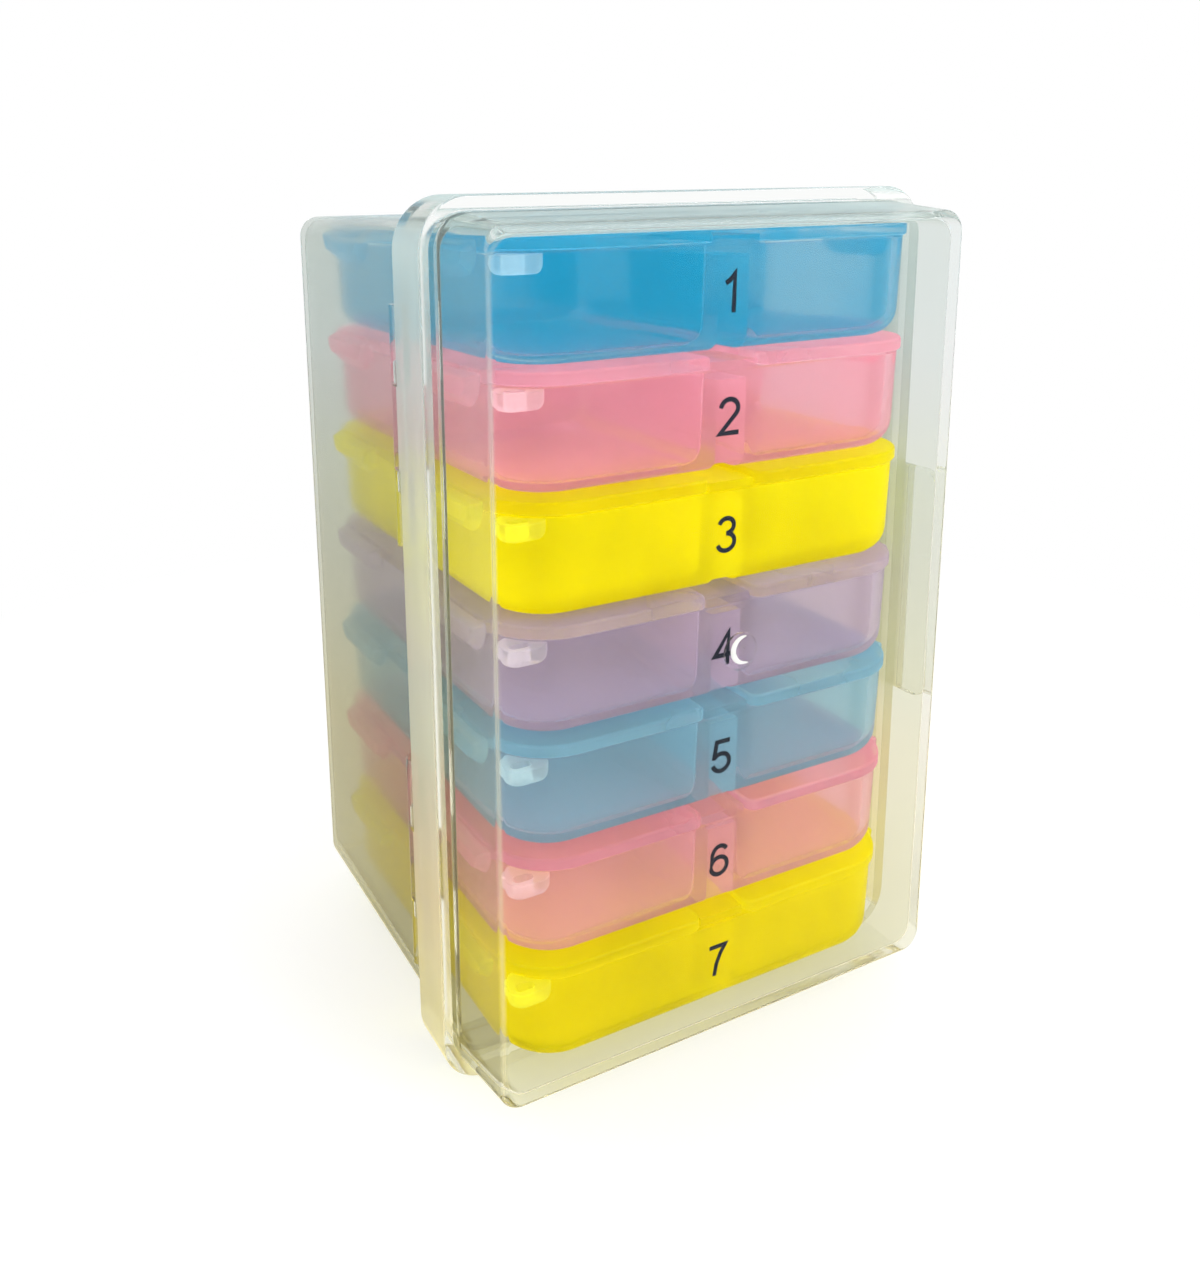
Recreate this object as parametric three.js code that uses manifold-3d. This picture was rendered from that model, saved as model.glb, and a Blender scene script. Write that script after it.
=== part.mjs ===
// Weekly pill organizer: a clear hinged case that holds a stack of day trays with hinged lids.
// Millimetres. X runs to the right, Y to the back and Z up, as seen from the front of the case.
// The origin is in the middle of the footprint, level with the lowest edge of the rim.

import * as THREE from "three";
import { mergeVertices } from "three/addons/utils/BufferGeometryUtils.js";
import Module from "manifold-3d";

const wasm = await Module();
wasm.setup();

// Clearances
const gap = 0.3;
const pinGap = 0.25;
const overrun = 2;

// Case: front face, walls and corners
const caseWidth = 72;
const caseHeight = 112;
const caseDepth = 68.5;
const caseWall = 1.2;
const faceCornerRadius = 3;
const mouthCornerRadius = 4;
const frontEdgeRadius = 0.9;
const rearEdgeRadius = 1.8;
const insideFillet = 0.7;
const coverSpread = 1.1;
const neckProud = 0.5;

// Rim: the skirt of the cover that laps over the mouth of the rear case
const rimFront = 11;
const rimLength = 8.4;
const rimProud = 3.2;
const rimWall = 1.8;
const ledgeWall = 1.4;
const rimCornerRadius = 7.5;
const rimEdgeRound = 0.6;

// Gate mark in the middle of the front face
const gateRadius = 2.6;
const gateDepth = 0.35;
const gateNubRadius = 0.7;
const gateNubHeight = 0.25;

// Cover hinge on the left side: two sets of knuckles on one axis
const hingeSetLength = 31;
const hingeSetSpacing = 61;
const hingeRadius = 1.2;
const coverKnuckleLength = 10.8;
const hingePinRadius = 0.55;
const hingePinLength = 2.4;

// Clasp on the right side
const claspLength = 36;
const claspThickness = 1.5;
const claspFront = 5;
const claspCornerRadius = 3.5;
const claspSetback = 1.6;
const claspBarrelRadius = 1.1;
const claspLugWidth = 3.6;
const claspPinRadius = 0.5;
const claspPinLength = 2;

// Trays
const trayCount = 7;
const trayWall = 1.2;
const trayFloor = 1.2;
const trayCornerRadius = 9;
const trayBottomFillet = 3.6;
const trayDraft = 0.3;
const frontClearance = 0.8;
const rearClearance = 0.9;
const sideClearance = 0.5;
const cupCornerRadius = 1.6;
const cupBottomFillet = 2.6;
const spineWidth = 7;
const spineWall = 1.2;
const spineDrop = 0.8;
const deckThickness = 2.4;

// Lids
const lidPlate = 1.7;
const lidOverhang = 0.5;
const lidInnerCornerRadius = 1.6;
const lidEdgeRound = 0.4;
const lidBarrelRadius = 0.7;
const lidBarrelLength = 8;
const lidBarrelInset = 1.1;
const lidPinRadius = 0.4;
const lidPinLength = 0.9;

// Thumb tabs that hang from the side edge of each lid
const thumbWidth = 16;
const thumbDrop = 5;
const thumbReach = 2;
const thumbInset = 14;
const thumbCornerRadius = 4.1;
const thumbTaper = 1.5;
const thumbTopRound = 0.5;

// Ring tab that fills the space in front of each tray's rounded left front corner
const ringWidth = 6.1;
const ringDepth = 4.9;
const ringHeight = 2.3;
const ringReach = 0.35;
const ringSideReach = 0.8;
const ringWall = 0.9;
const ringCornerRadius = 2;
const ringTaper = 0.4;
const ringSlotLength = 2.8;
const ringSlotDepth = 1.4;

// Facets
const cornerSteps = 4;
const smallCornerSteps = 2;
const filletSteps = 3;
const pinSides = 8;
const lidPinSides = 4;
const lidBarrelSides = 6;
const knuckleSides = 14;
const gateSides = 20;

// Sizes that follow from the ones above
const rimBack = rimFront + rimLength;
const mouthDepth = rimFront + ledgeWall + gap;
const caseMiddle = rimProud + caseHeight / 2;
const pitch = (caseHeight - 2 * caseWall - gap) / trayCount;
const trayHeight = pitch - gap;
const trayWidth = caseWidth - 2 * (caseWall + sideClearance + thumbReach);
const trayFront = caseWall + frontClearance + lidOverhang;
const trayRear = caseWall + rearClearance + lidOverhang;
const trayDepth = caseDepth - trayFront - trayRear;
const trayMiddle = trayFront + trayDepth / 2 - caseDepth / 2;
const plateBottom = trayHeight - lidPlate;
const wallTop = plateBottom - gap;
const deckTop = trayHeight - spineDrop;
const hingeX = -(caseWidth / 2 + neckProud + gap + hingeRadius);
const hingeY = rimBack + gap + hingeRadius - caseDepth / 2;
const claspX = caseWidth / 2 + rimProud + gap + claspThickness - claspBarrelRadius;
const claspY = rimBack + claspSetback + claspBarrelRadius - caseDepth / 2;
const leftReach = Math.max(caseWidth / 2 + rimProud, hingeRadius - hingeX);
const rightReach = claspX + claspBarrelRadius;

// Solids and geometry

function toSolid(geometry) {
  geometry.deleteAttribute("normal");
  geometry.deleteAttribute("uv");
  const merged = mergeVertices(geometry);
  return new wasm.Manifold(new wasm.Mesh({
    numProp: 3,
    vertProperties: new Float32Array(merged.attributes.position.array),
    triVerts: new Uint32Array(merged.index.array),
  }));
}

function toGeometry(solid) {
  const mesh = solid.asOriginal().getMesh();
  const geometry = new THREE.BufferGeometry();
  geometry.setAttribute("position", new THREE.BufferAttribute(mesh.vertProperties, 3));
  geometry.setIndex(new THREE.BufferAttribute(mesh.triVerts, 1));
  geometry.computeVertexNormals();
  return geometry;
}

function joined(solids) {
  return solids.reduce((sum, solid) => sum.add(solid));
}

function box(low, high) {
  const size = high.map((value, axis) => value - low[axis]);
  const geometry = new THREE.BoxGeometry(...size);
  geometry.translate(...low.map((value, axis) => value + size[axis] / 2));
  return toSolid(geometry);
}

// A round bar centred on a point, along the axis named "y" or "z"
function bar(radius, length, sides, axis, centre) {
  const geometry = new THREE.CylinderGeometry(radius, radius, length, sides);
  if (axis === "z") geometry.rotateX(Math.PI / 2);
  geometry.translate(...centre);
  return toSolid(geometry);
}

const evenSteps = [cornerSteps, cornerSteps, cornerSteps, cornerSteps];
const cutCorners = [1, 1, 1, 1];

// The outline of a rectangle with rounded corners, counter-clockwise from its right low corner.
// radii and steps list the corners as right low, right high, left high, left low.
function roundedRect(left, right, low, high, radii, steps = evenSteps) {
  const corners = [
    [right, low, -1, 1],
    [right, high, -1, -1],
    [left, high, 1, -1],
    [left, low, 1, 1],
  ];
  const points = [];
  corners.forEach(([u, v, inU, inV], corner) => {
    const radius = radii[corner];
    for (let step = 0; step <= steps[corner]; step++) {
      const angle = (corner - 1 + step / steps[corner]) * Math.PI / 2;
      const centreU = u + inU * radius;
      const centreV = v + inV * radius;
      points.push([centreU + radius * Math.cos(angle), centreV + radius * Math.sin(angle)]);
    }
  });
  return points;
}

// The same outline drawn in by an inset on every side
function insetRect({ left, right, low, high, radii, steps }, inset) {
  const smaller = radii.map((radius) => Math.max(radius - inset, radius / cornerSteps));
  return roundedRect(left + inset, right - inset, low + inset, high - inset, smaller, steps);
}

// A closed solid through a stack of outlines, each at its own level. place turns an outline
// point and its level into X, Y and Z.
function loft(rings, place) {
  const count = rings[0].points.length;
  const corners = rings.flatMap(({ points, level }) => points.map(([u, v]) => place(u, v, level)));
  const faces = [];
  for (let ring = 0; ring + 1 < rings.length; ring++) {
    for (let i = 0; i < count; i++) {
      const here = ring * count + i;
      const next = ring * count + (i + 1) % count;
      faces.push([here, next, next + count], [here, next + count, here + count]);
    }
  }
  const last = (rings.length - 1) * count;
  for (let i = 1; i + 1 < count; i++) {
    faces.push([0, i + 1, i], [last, last + i, last + i + 1]);
  }
  const volume = faces.reduce((sum, face) => {
    const [a, b, c] = face.map((corner) => new THREE.Vector3(...corners[corner]));
    return sum + a.dot(b.cross(c));
  }, 0);
  const ordered = volume > 0 ? faces : faces.map(([i, j, k]) => [i, k, j]);
  const geometry = new THREE.BufferGeometry();
  geometry.setAttribute("position", new THREE.Float32BufferAttribute(corners.flat(), 3));
  geometry.setIndex(ordered.flat());
  return toSolid(geometry);
}

// Rings for a rectangle whose lowest edge is rounded by a fillet, up to a top level
function filletedRings(rect, bottom, top, fillet, spread, steps) {
  const rings = [];
  for (let step = 0; step <= steps; step++) {
    const angle = (step / steps) * Math.PI / 2;
    const inset = spread + fillet * (1 - Math.sin(angle));
    rings.push({ points: insetRect(rect, inset), level: bottom + fillet * (1 - Math.cos(angle)) });
  }
  rings.push({ points: insetRect(rect, 0), level: top });
  return rings;
}

// Case shells, lofted from front to back. depth is counted back from the front face.

function casePlace(u, v, depth) {
  return [u, depth - caseDepth / 2, v + caseMiddle];
}

function caseRing(depth, proud, radius) {
  const halfWidth = caseWidth / 2 + proud;
  const halfHeight = caseHeight / 2 + proud;
  const radii = [radius, radius, radius, radius];
  return { points: roundedRect(-halfWidth, halfWidth, -halfHeight, halfHeight, radii), level: depth };
}

// Rings that round a face's edge from the flat face, at depth, to the wall behind it
function edgeRings(depth, direction, round, proud, radius) {
  const rings = [];
  for (let step = 0; step <= filletSteps; step++) {
    const angle = (step / filletSteps) * Math.PI / 2;
    const drawnIn = round * (1 - Math.sin(angle));
    const level = depth + direction * round * (1 - Math.cos(angle));
    rings.push(caseRing(level, proud - drawnIn, radius - drawnIn / 2));
  }
  return rings;
}

function coverShell() {
  const outside = loft([
    ...edgeRings(0, 1, frontEdgeRadius, 0, faceCornerRadius),
    caseRing(rimFront, coverSpread, mouthCornerRadius),
    caseRing(rimFront, rimProud - rimEdgeRound, rimCornerRadius - rimEdgeRound),
    caseRing(rimFront + rimEdgeRound, rimProud, rimCornerRadius),
    caseRing(rimBack - rimEdgeRound / 2, rimProud, rimCornerRadius),
    caseRing(rimBack, rimProud - rimEdgeRound / 2, rimCornerRadius),
  ], casePlace);
  const spreadAt = (depth) => coverSpread * depth / rimFront;
  const ledgeBack = rimFront + ledgeWall;
  const frontStart = caseWall + insideFillet;
  const hollow = loft([
    caseRing(caseWall, spreadAt(caseWall) - caseWall - insideFillet, faceCornerRadius - insideFillet),
    caseRing(frontStart, spreadAt(frontStart) - caseWall, faceCornerRadius),
    caseRing(rimFront, coverSpread - caseWall, mouthCornerRadius - caseWall),
    caseRing(ledgeBack + ledgeWall, coverSpread - caseWall, mouthCornerRadius - caseWall),
  ], casePlace);
  const skirtHollow = loft([
    caseRing(ledgeBack, rimProud - rimWall, rimCornerRadius - rimWall),
    caseRing(rimBack + overrun, rimProud - rimWall, rimCornerRadius - rimWall),
  ], casePlace);
  return outside.subtract(hollow).subtract(skirtHollow);
}

function rearShell() {
  const proudAt = (depth) => neckProud * (caseDepth - depth) / (caseDepth - mouthDepth);
  const outside = loft([
    caseRing(mouthDepth, neckProud, mouthCornerRadius),
    ...edgeRings(caseDepth, -1, rearEdgeRadius, 0, faceCornerRadius).reverse(),
  ], casePlace);
  const rearInside = caseDepth - caseWall;
  const hollow = loft([
    caseRing(mouthDepth - overrun, proudAt(mouthDepth - overrun) - caseWall, mouthCornerRadius - caseWall),
    caseRing(rearInside - insideFillet, proudAt(rearInside) - caseWall, faceCornerRadius - insideFillet),
    caseRing(rearInside, -caseWall - insideFillet, faceCornerRadius - insideFillet),
  ], casePlace);
  return outside.subtract(hollow);
}

// The round mark that the mould's gate leaves, sunk into the front face with a nub in it
function gateCut() {
  const frontY = -caseDepth / 2;
  const recess = bar(gateRadius, 2 * gateDepth, gateSides, "y", [0, frontY, caseMiddle]);
  const nubLength = 2 * gateNubHeight;
  const nub = bar(gateNubRadius, nubLength, pinSides, "y", [0, frontY + gateDepth, caseMiddle]);
  return recess.subtract(nub);
}

// Cover hinge

const hingeLevels = [caseMiddle - hingeSetSpacing / 2, caseMiddle + hingeSetSpacing / 2];
const lugLength = (hingeSetLength - coverKnuckleLength) / 2 - gap;

function coverKnuckle(level) {
  const knuckle = bar(hingeRadius, coverKnuckleLength, knuckleSides, "z", [hingeX, hingeY, level]);
  const pinSpan = coverKnuckleLength + 2 * (gap + hingePinLength);
  const pin = bar(hingePinRadius, pinSpan, pinSides, "z", [hingeX, hingeY, level]);
  const skirtInside = -(caseWidth / 2 + rimProud - rimWall);
  const web = box(
    [hingeX - hingeRadius, rimBack - rimEdgeRound - caseDepth / 2, level - coverKnuckleLength / 2],
    [skirtInside, hingeY, level + coverKnuckleLength / 2],
  );
  return joined([knuckle, pin, web]);
}

function rearLugs(level) {
  const lugs = [-1, 1].map((end) => {
    const middle = level + end * (coverKnuckleLength / 2 + gap + lugLength / 2);
    const barrel = bar(hingeRadius, lugLength, knuckleSides, "z", [hingeX, hingeY, middle]);
    const foot = box(
      [hingeX, hingeY - hingeRadius, middle - lugLength / 2],
      [-caseWidth / 2, hingeY + hingeRadius, middle + lugLength / 2],
    );
    return barrel.add(foot);
  });
  const socketSpan = coverKnuckleLength + 2 * (gap + hingePinLength + gap);
  const socket = bar(hingePinRadius + pinGap, socketSpan, pinSides, "z", [hingeX, hingeY, level]);
  return joined(lugs).subtract(socket);
}

// Clasp

const claspBarrelLength = claspLength - 2 * (claspLugWidth + gap);

function claspPlate() {
  const inside = claspX + claspBarrelRadius - claspThickness;
  const outside = claspX + claspBarrelRadius;
  const front = claspFront - caseDepth / 2;
  const back = claspY - claspBarrelRadius - gap;
  const low = caseMiddle - claspLength / 2;
  const high = caseMiddle + claspLength / 2;
  const small = claspCornerRadius / cornerSteps;
  const outline = { left: front, right: back, low, high };
  outline.radii = [small, small, claspCornerRadius, claspCornerRadius];
  outline.steps = [1, 1, cornerSteps, cornerSteps];
  const edge = claspThickness / cornerSteps;
  return loft([
    { points: insetRect(outline, edge), level: outside },
    { points: insetRect(outline, 0), level: outside - edge },
    { points: insetRect(outline, 0), level: inside + edge },
    { points: insetRect(outline, edge), level: inside },
  ], (u, v, level) => [level, u, v]);
}

function clasp() {
  const centre = [claspX, claspY, caseMiddle];
  const barrel = bar(claspBarrelRadius, claspBarrelLength, knuckleSides, "z", centre);
  const pin = bar(claspPinRadius, claspBarrelLength + 2 * (gap + claspPinLength), pinSides, "z", centre);
  const web = box(
    [claspX, claspY - 2 * claspBarrelRadius, caseMiddle - claspBarrelLength / 2],
    [claspX + claspBarrelRadius, claspY, caseMiddle + claspBarrelLength / 2],
  );
  return joined([claspPlate(), barrel, pin, web]);
}

function claspLugs() {
  const lugs = [-1, 1].map((end) => {
    const middle = caseMiddle + end * (claspLength - claspLugWidth) / 2;
    const eye = bar(claspBarrelRadius, claspLugWidth, knuckleSides, "z", [claspX, claspY, middle]);
    const arm = box(
      [caseWidth / 2, claspY - claspBarrelRadius, middle - claspLugWidth / 2],
      [claspX, claspY + claspBarrelRadius, middle + claspLugWidth / 2],
    );
    return eye.add(arm);
  });
  const socketSpan = claspBarrelLength + 2 * (gap + claspPinLength + gap);
  const centre = [claspX, claspY, caseMiddle];
  return joined(lugs).subtract(bar(claspPinRadius + pinGap, socketSpan, pinSides, "z", centre));
}

// Trays, each in a frame of its own: origin under the middle of its floor

function plan(u, v, level) {
  return [u, v, level];
}

// The rectangle of a tray's outer wall
function trayRect() {
  const radius = trayCornerRadius;
  return {
    left: -trayWidth / 2,
    right: trayWidth / 2,
    low: -trayDepth / 2,
    high: trayDepth / 2,
    radii: [radius, radius, radius, radius],
  };
}

// The pill cup in the right rear quarter, turned into the other quarters by its two signs
function cup(sideX, sideY) {
  const rect = {
    left: spineWidth / 2,
    right: trayWidth / 2 - trayWall,
    low: trayWall / 2,
    high: trayDepth / 2 - trayWall,
    radii: [cupCornerRadius, trayCornerRadius - trayWall, cupCornerRadius, cupCornerRadius],
    steps: [1, cornerSteps, 1, 1],
  };
  const top = trayHeight + overrun;
  const rings = filletedRings(rect, trayFloor, top, cupBottomFillet, trayDraft, smallCornerSteps);
  return loft(rings, (u, v, level) => [sideX * u, sideY * v, level]);
}

// Lid hinges lie along the edges of the spine's deck
const lidHingeX = spineWidth / 2 - lidBarrelInset;
const lidHingeY = (trayDepth / 2 + lidOverhang) / 2;
const lidHingeZ = deckTop - gap / 2 - lidBarrelRadius;

function hingePocket(sideX, sideY) {
  const halfLength = lidBarrelLength / 2 + gap;
  const reach = lidBarrelRadius + gap;
  const xs = [sideX * (lidHingeX - reach), sideX * (spineWidth / 2 + gap)];
  const pocket = box(
    [Math.min(...xs), sideY * lidHingeY - halfLength, lidHingeZ - reach],
    [Math.max(...xs), sideY * lidHingeY + halfLength, deckTop + overrun],
  );
  const socketSpan = lidBarrelLength + 2 * (lidPinLength + gap);
  const centre = [sideX * lidHingeX, sideY * lidHingeY, lidHingeZ];
  return pocket.add(bar(lidPinRadius + pinGap, socketSpan, lidPinSides, "y", centre));
}

// The ring tab's body and the slot through it
function ringTab() {
  const left = -trayWidth / 2 - ringSideReach;
  const front = -trayDepth / 2 - ringReach;
  const outline = {
    left,
    right: left + ringWidth,
    low: front,
    high: front + ringDepth,
    radii: [ringCornerRadius, ringTaper, ringCornerRadius, ringCornerRadius],
    steps: [filletSteps, 1, filletSteps, filletSteps],
  };
  const bottom = wallTop - ringHeight;
  const body = loft([
    { points: insetRect(outline, ringTaper), level: bottom },
    { points: insetRect(outline, 0), level: bottom + ringTaper },
    { points: insetRect(outline, 0), level: wallTop },
  ], plan);
  const slotLeft = left + ringWall;
  const slotFront = front + ringWall;
  const round = (ringSlotDepth - ringTaper) / 2;
  const slotPoints = roundedRect(
    slotLeft,
    slotLeft + ringSlotLength,
    slotFront,
    slotFront + ringSlotDepth,
    [round, round, round, round],
    cutCorners,
  );
  const slot = loft([
    { points: slotPoints, level: bottom - overrun },
    { points: slotPoints, level: wallTop + overrun },
  ], plan);
  return { body, slot };
}

const quarters = [[-1, -1], [1, -1], [-1, 1], [1, 1]];

function tray() {
  const rings = filletedRings(trayRect(), 0, wallTop, trayBottomFillet, trayDraft, filletSteps);
  const outside = loft(rings, plan);
  const spine = box(
    [-spineWidth / 2, trayWall / 2 - trayDepth / 2, wallTop - trayWall],
    [spineWidth / 2, trayDepth / 2 - trayWall / 2, deckTop],
  );
  const channel = box(
    [spineWall - spineWidth / 2, trayWall - trayDepth / 2, -overrun],
    [spineWidth / 2 - spineWall, trayDepth / 2 - trayWall, deckTop - deckThickness],
  );
  const cups = joined(quarters.map(([sideX, sideY]) => cup(sideX, sideY)));
  const pockets = joined(quarters.map(([sideX, sideY]) => hingePocket(sideX, sideY)));
  const ring = ringTab();
  return joined([outside, spine, ring.body]).subtract(joined([cups, channel, pockets, ring.slot]));
}

// Lids. The left front lid is the one that is drawn; the others are its mirror forms.

function thumbTab() {
  const middle = thumbInset - trayDepth / 2;
  const top = trayHeight - lidEdgeRound;
  const small = lidEdgeRound;
  const round = Math.min(thumbCornerRadius, thumbDrop - 2 * lidEdgeRound);
  const outline = {
    left: middle - thumbWidth / 2,
    right: middle + thumbWidth / 2,
    low: trayHeight - thumbDrop,
    high: top,
    radii: [round, small, small, round],
    steps: [filletSteps, 1, 1, filletSteps],
  };
  const tipRound = round - thumbTaper - thumbTopRound;
  const tip = {
    ...outline,
    left: outline.left + thumbTaper / 2,
    right: outline.right - thumbTaper / 2,
    low: outline.low + thumbTaper,
    high: outline.high - thumbTopRound,
    radii: [tipRound, small, small, tipRound],
  };
  return loft([
    { points: insetRect(tip, 0), level: -trayWidth / 2 - thumbReach },
    { points: insetRect(outline, 0), level: -trayWidth / 2 - gap },
  ], (u, v, level) => [level, u, v]);
}

function lid() {
  const round = trayCornerRadius + lidOverhang;
  const small = lidInnerCornerRadius;
  const rect = {
    left: -trayWidth / 2 - lidOverhang,
    right: -spineWidth / 2 - gap,
    low: -trayDepth / 2 - lidOverhang,
    high: -gap / 2,
    radii: [small, small, small, round],
    steps: [smallCornerSteps, 1, 1, cornerSteps],
  };
  const slab = loft([
    { points: insetRect(rect, 0), level: plateBottom },
    { points: insetRect(rect, 0), level: trayHeight - lidEdgeRound },
    { points: insetRect(rect, lidEdgeRound), level: trayHeight },
  ], plan);
  const centre = [-lidHingeX, -lidHingeY, lidHingeZ];
  const barrel = bar(lidBarrelRadius, lidBarrelLength, lidBarrelSides, "y", centre);
  const pin = bar(lidPinRadius, lidBarrelLength + 2 * lidPinLength, lidPinSides, "y", centre);
  const web = box(
    [rect.right - lidPlate, -lidHingeY - lidBarrelLength / 2, lidHingeZ],
    [-lidHingeX, -lidHingeY + lidBarrelLength / 2, lidHingeZ + lidBarrelRadius],
  );
  return joined([slab, thumbTab(), barrel, pin, web]);
}

// Materials

const clearPlastic = new THREE.MeshStandardMaterial({ color: 0xd5dccb, roughness: 0.15, metalness: 0 });

const trayColours = [0x45a8cf, 0xe28aae, 0xf5e400, 0xa995bd, 0x5fb0c4, 0xdf93a8, 0xf1e300];

const trayMaterials = trayColours.map((color) => {
  return new THREE.MeshStandardMaterial({ color, roughness: 0.25, metalness: 0 });
});

// Assembly

function piece(name, geometry, material) {
  const mesh = new THREE.Mesh(geometry, material);
  mesh.name = name;
  return mesh;
}

const organizer = new THREE.Group();
organizer.position.x = (leftReach - rightReach) / 2;

const rearCase = joined([rearShell(), ...hingeLevels.map(rearLugs), claspLugs()]);
const frontCover = joined([coverShell(), ...hingeLevels.map(coverKnuckle)]).subtract(gateCut());
organizer.add(piece("rear_case", toGeometry(rearCase), clearPlastic));
organizer.add(piece("front_cover", toGeometry(frontCover), clearPlastic));
organizer.add(piece("side_clasp", toGeometry(clasp()), clearPlastic));

const trayGeometry = toGeometry(tray());
const lidGeometry = toGeometry(lid());
const mirroredLidGeometry = toGeometry(lid().mirror([1, 0, 0]));

// Turning the left front lid half a turn makes the right rear one; the other two are mirrored
const lidForms = [
  { place: "front_left", geometry: lidGeometry, turn: 0 },
  { place: "rear_right", geometry: lidGeometry, turn: Math.PI },
  { place: "front_right", geometry: mirroredLidGeometry, turn: 0 },
  { place: "rear_left", geometry: mirroredLidGeometry, turn: Math.PI },
];

for (let day = 1; day <= trayCount; day++) {
  const level = rimProud + caseWall + gap + (trayCount - day) * pitch;
  const material = trayMaterials[(day - 1) % trayMaterials.length];
  const stackPlace = new THREE.Group();
  stackPlace.position.set(0, trayMiddle, level);
  stackPlace.add(piece(`tray_${day}`, trayGeometry, material));
  for (const form of lidForms) {
    const mesh = piece(`lid_${day}_${form.place}`, form.geometry, material);
    mesh.rotation.z = form.turn;
    stackPlace.add(mesh);
  }
  organizer.add(stackPlace);
}

export default organizer;
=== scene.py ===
import math
import bmesh
import bpy
from mathutils import Matrix, Vector


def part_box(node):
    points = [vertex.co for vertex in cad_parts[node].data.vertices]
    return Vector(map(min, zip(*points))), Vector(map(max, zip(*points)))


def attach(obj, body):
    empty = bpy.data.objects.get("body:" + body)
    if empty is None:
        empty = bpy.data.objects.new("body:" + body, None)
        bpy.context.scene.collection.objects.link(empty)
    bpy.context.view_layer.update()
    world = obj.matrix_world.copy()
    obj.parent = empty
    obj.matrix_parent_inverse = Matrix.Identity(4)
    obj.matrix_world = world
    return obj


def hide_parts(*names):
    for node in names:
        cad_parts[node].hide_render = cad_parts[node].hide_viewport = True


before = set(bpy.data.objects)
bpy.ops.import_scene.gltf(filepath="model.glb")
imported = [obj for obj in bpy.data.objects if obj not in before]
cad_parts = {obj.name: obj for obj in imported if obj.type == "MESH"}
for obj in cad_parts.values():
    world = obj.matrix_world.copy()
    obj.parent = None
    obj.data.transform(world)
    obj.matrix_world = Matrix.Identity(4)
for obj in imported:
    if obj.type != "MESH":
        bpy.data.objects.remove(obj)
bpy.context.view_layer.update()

# Weekly pill organizer. Shapes are drawn in millimetres and become metres when a piece is finished.
mm = 0.001
scene = bpy.context.scene
scene.view_settings.view_transform = "Standard"

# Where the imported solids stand: two lids give the middle line, the cover the front and the height
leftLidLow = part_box("lid_1_front_left")[0] / mm
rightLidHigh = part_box("lid_1_rear_right")[1] / mm
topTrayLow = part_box("tray_1")[0] / mm
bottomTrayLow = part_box("tray_7")[0] / mm
coverLow, coverHigh = [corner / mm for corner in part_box("front_cover")]
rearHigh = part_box("rear_case")[1] / mm
middleX = (leftLidLow.x + rightLidHigh.x) / 2
frontY = coverLow.y
middleZ = (coverLow.z + coverHigh.z) / 2
dayCount = 7
pitch = (topTrayLow.z - bottomTrayLow.z) / (dayCount - 1)
gap = 0.3  # clearance between moulded pieces
overrun = 2  # how far a cutting shape runs past what it cuts
leastRadius = 0.1  # no corner of an outline gets tighter
smoothAngle = 32  # past this many degrees an edge stays sharp
flatWeight = 90  # how much large flat faces rule the normals beside them


# Outlines, lofts and other mesh helpers

def roundedRect(left, right, low, high, radii, steps):
    corners = [(right, low, -1, 1), (right, high, -1, -1), (left, high, 1, -1), (left, low, 1, 1)]
    points = []
    for corner, (u, v, inU, inV) in enumerate(corners):
        radius = radii[corner]
        for step in range(steps + 1):
            angle = (corner - 1 + step / steps) * math.pi / 2
            points.append((u + radius * (inU + math.cos(angle)), v + radius * (inV + math.sin(angle))))
    return points


def inset(rect, by):
    left, right, low, high, radii, steps = rect
    smaller = [max(radius - by, leastRadius) for radius in radii]
    return roundedRect(left + by, right - by, low + by, high - by, smaller, steps)


def quarter(steps):
    # pairs that run round a quarter circle: how far in it still is, how far along it already is
    angles = [step / steps * math.pi / 2 for step in range(steps + 1)]
    return [(1 - math.sin(angle), 1 - math.cos(angle)) for angle in angles]


def skin(shape, rows):
    # faces through rows of vertices of equal count, closed at both ends
    count = len(rows[0])
    for row, above in zip(rows, rows[1:]):
        for i in range(count):
            j = (i + 1) % count
            shape.faces.new((row[i], row[j], above[j], above[i]))
    shape.faces.new(rows[0][::-1])
    shape.faces.new(rows[-1])


def loft(rings, place):
    # a closed shape through outlines of equal count, each at its own level
    shape = bmesh.new()
    skin(shape, [[shape.verts.new(place(u, v, level)) for u, v in points] for points, level in rings])
    if shape.calc_volume(signed=True) < 0:
        bmesh.ops.reverse_faces(shape, faces=shape.faces)
    return shape


def box(low, high):
    shape = bmesh.new()
    bmesh.ops.create_cube(shape, size=1)
    size = [top - bottom for bottom, top in zip(low, high)]
    middle = [(top + bottom) / 2 for bottom, top in zip(low, high)]
    shape.transform(Matrix.Translation(middle) @ Matrix.Diagonal((*size, 1)))
    return shape


def bar(radius, length, sides, axis, centre):
    # a round bar along y or z
    shape = bmesh.new()
    bmesh.ops.create_cone(
        shape, cap_ends=True, segments=sides, radius1=radius, radius2=radius, depth=length)
    turn = Matrix.Rotation(math.pi / 2, 4, "X") if axis == "y" else Matrix.Identity(4)
    shape.transform(Matrix.Translation(centre) @ turn)
    return shape


def gathered(shapes):
    # several shapes that don't touch, as one
    whole = bmesh.new()
    for shape in shapes:
        part = bpy.data.meshes.new("part")
        shape.to_mesh(part)
        whole.from_mesh(part)
        bpy.data.meshes.remove(part)
        shape.free()
    return whole


def objectOf(name, shape):
    mesh = bpy.data.meshes.new(name)
    shape.to_mesh(mesh)
    shape.free()
    made = bpy.data.objects.new(name, mesh)
    scene.collection.objects.link(made)
    return made


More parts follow.
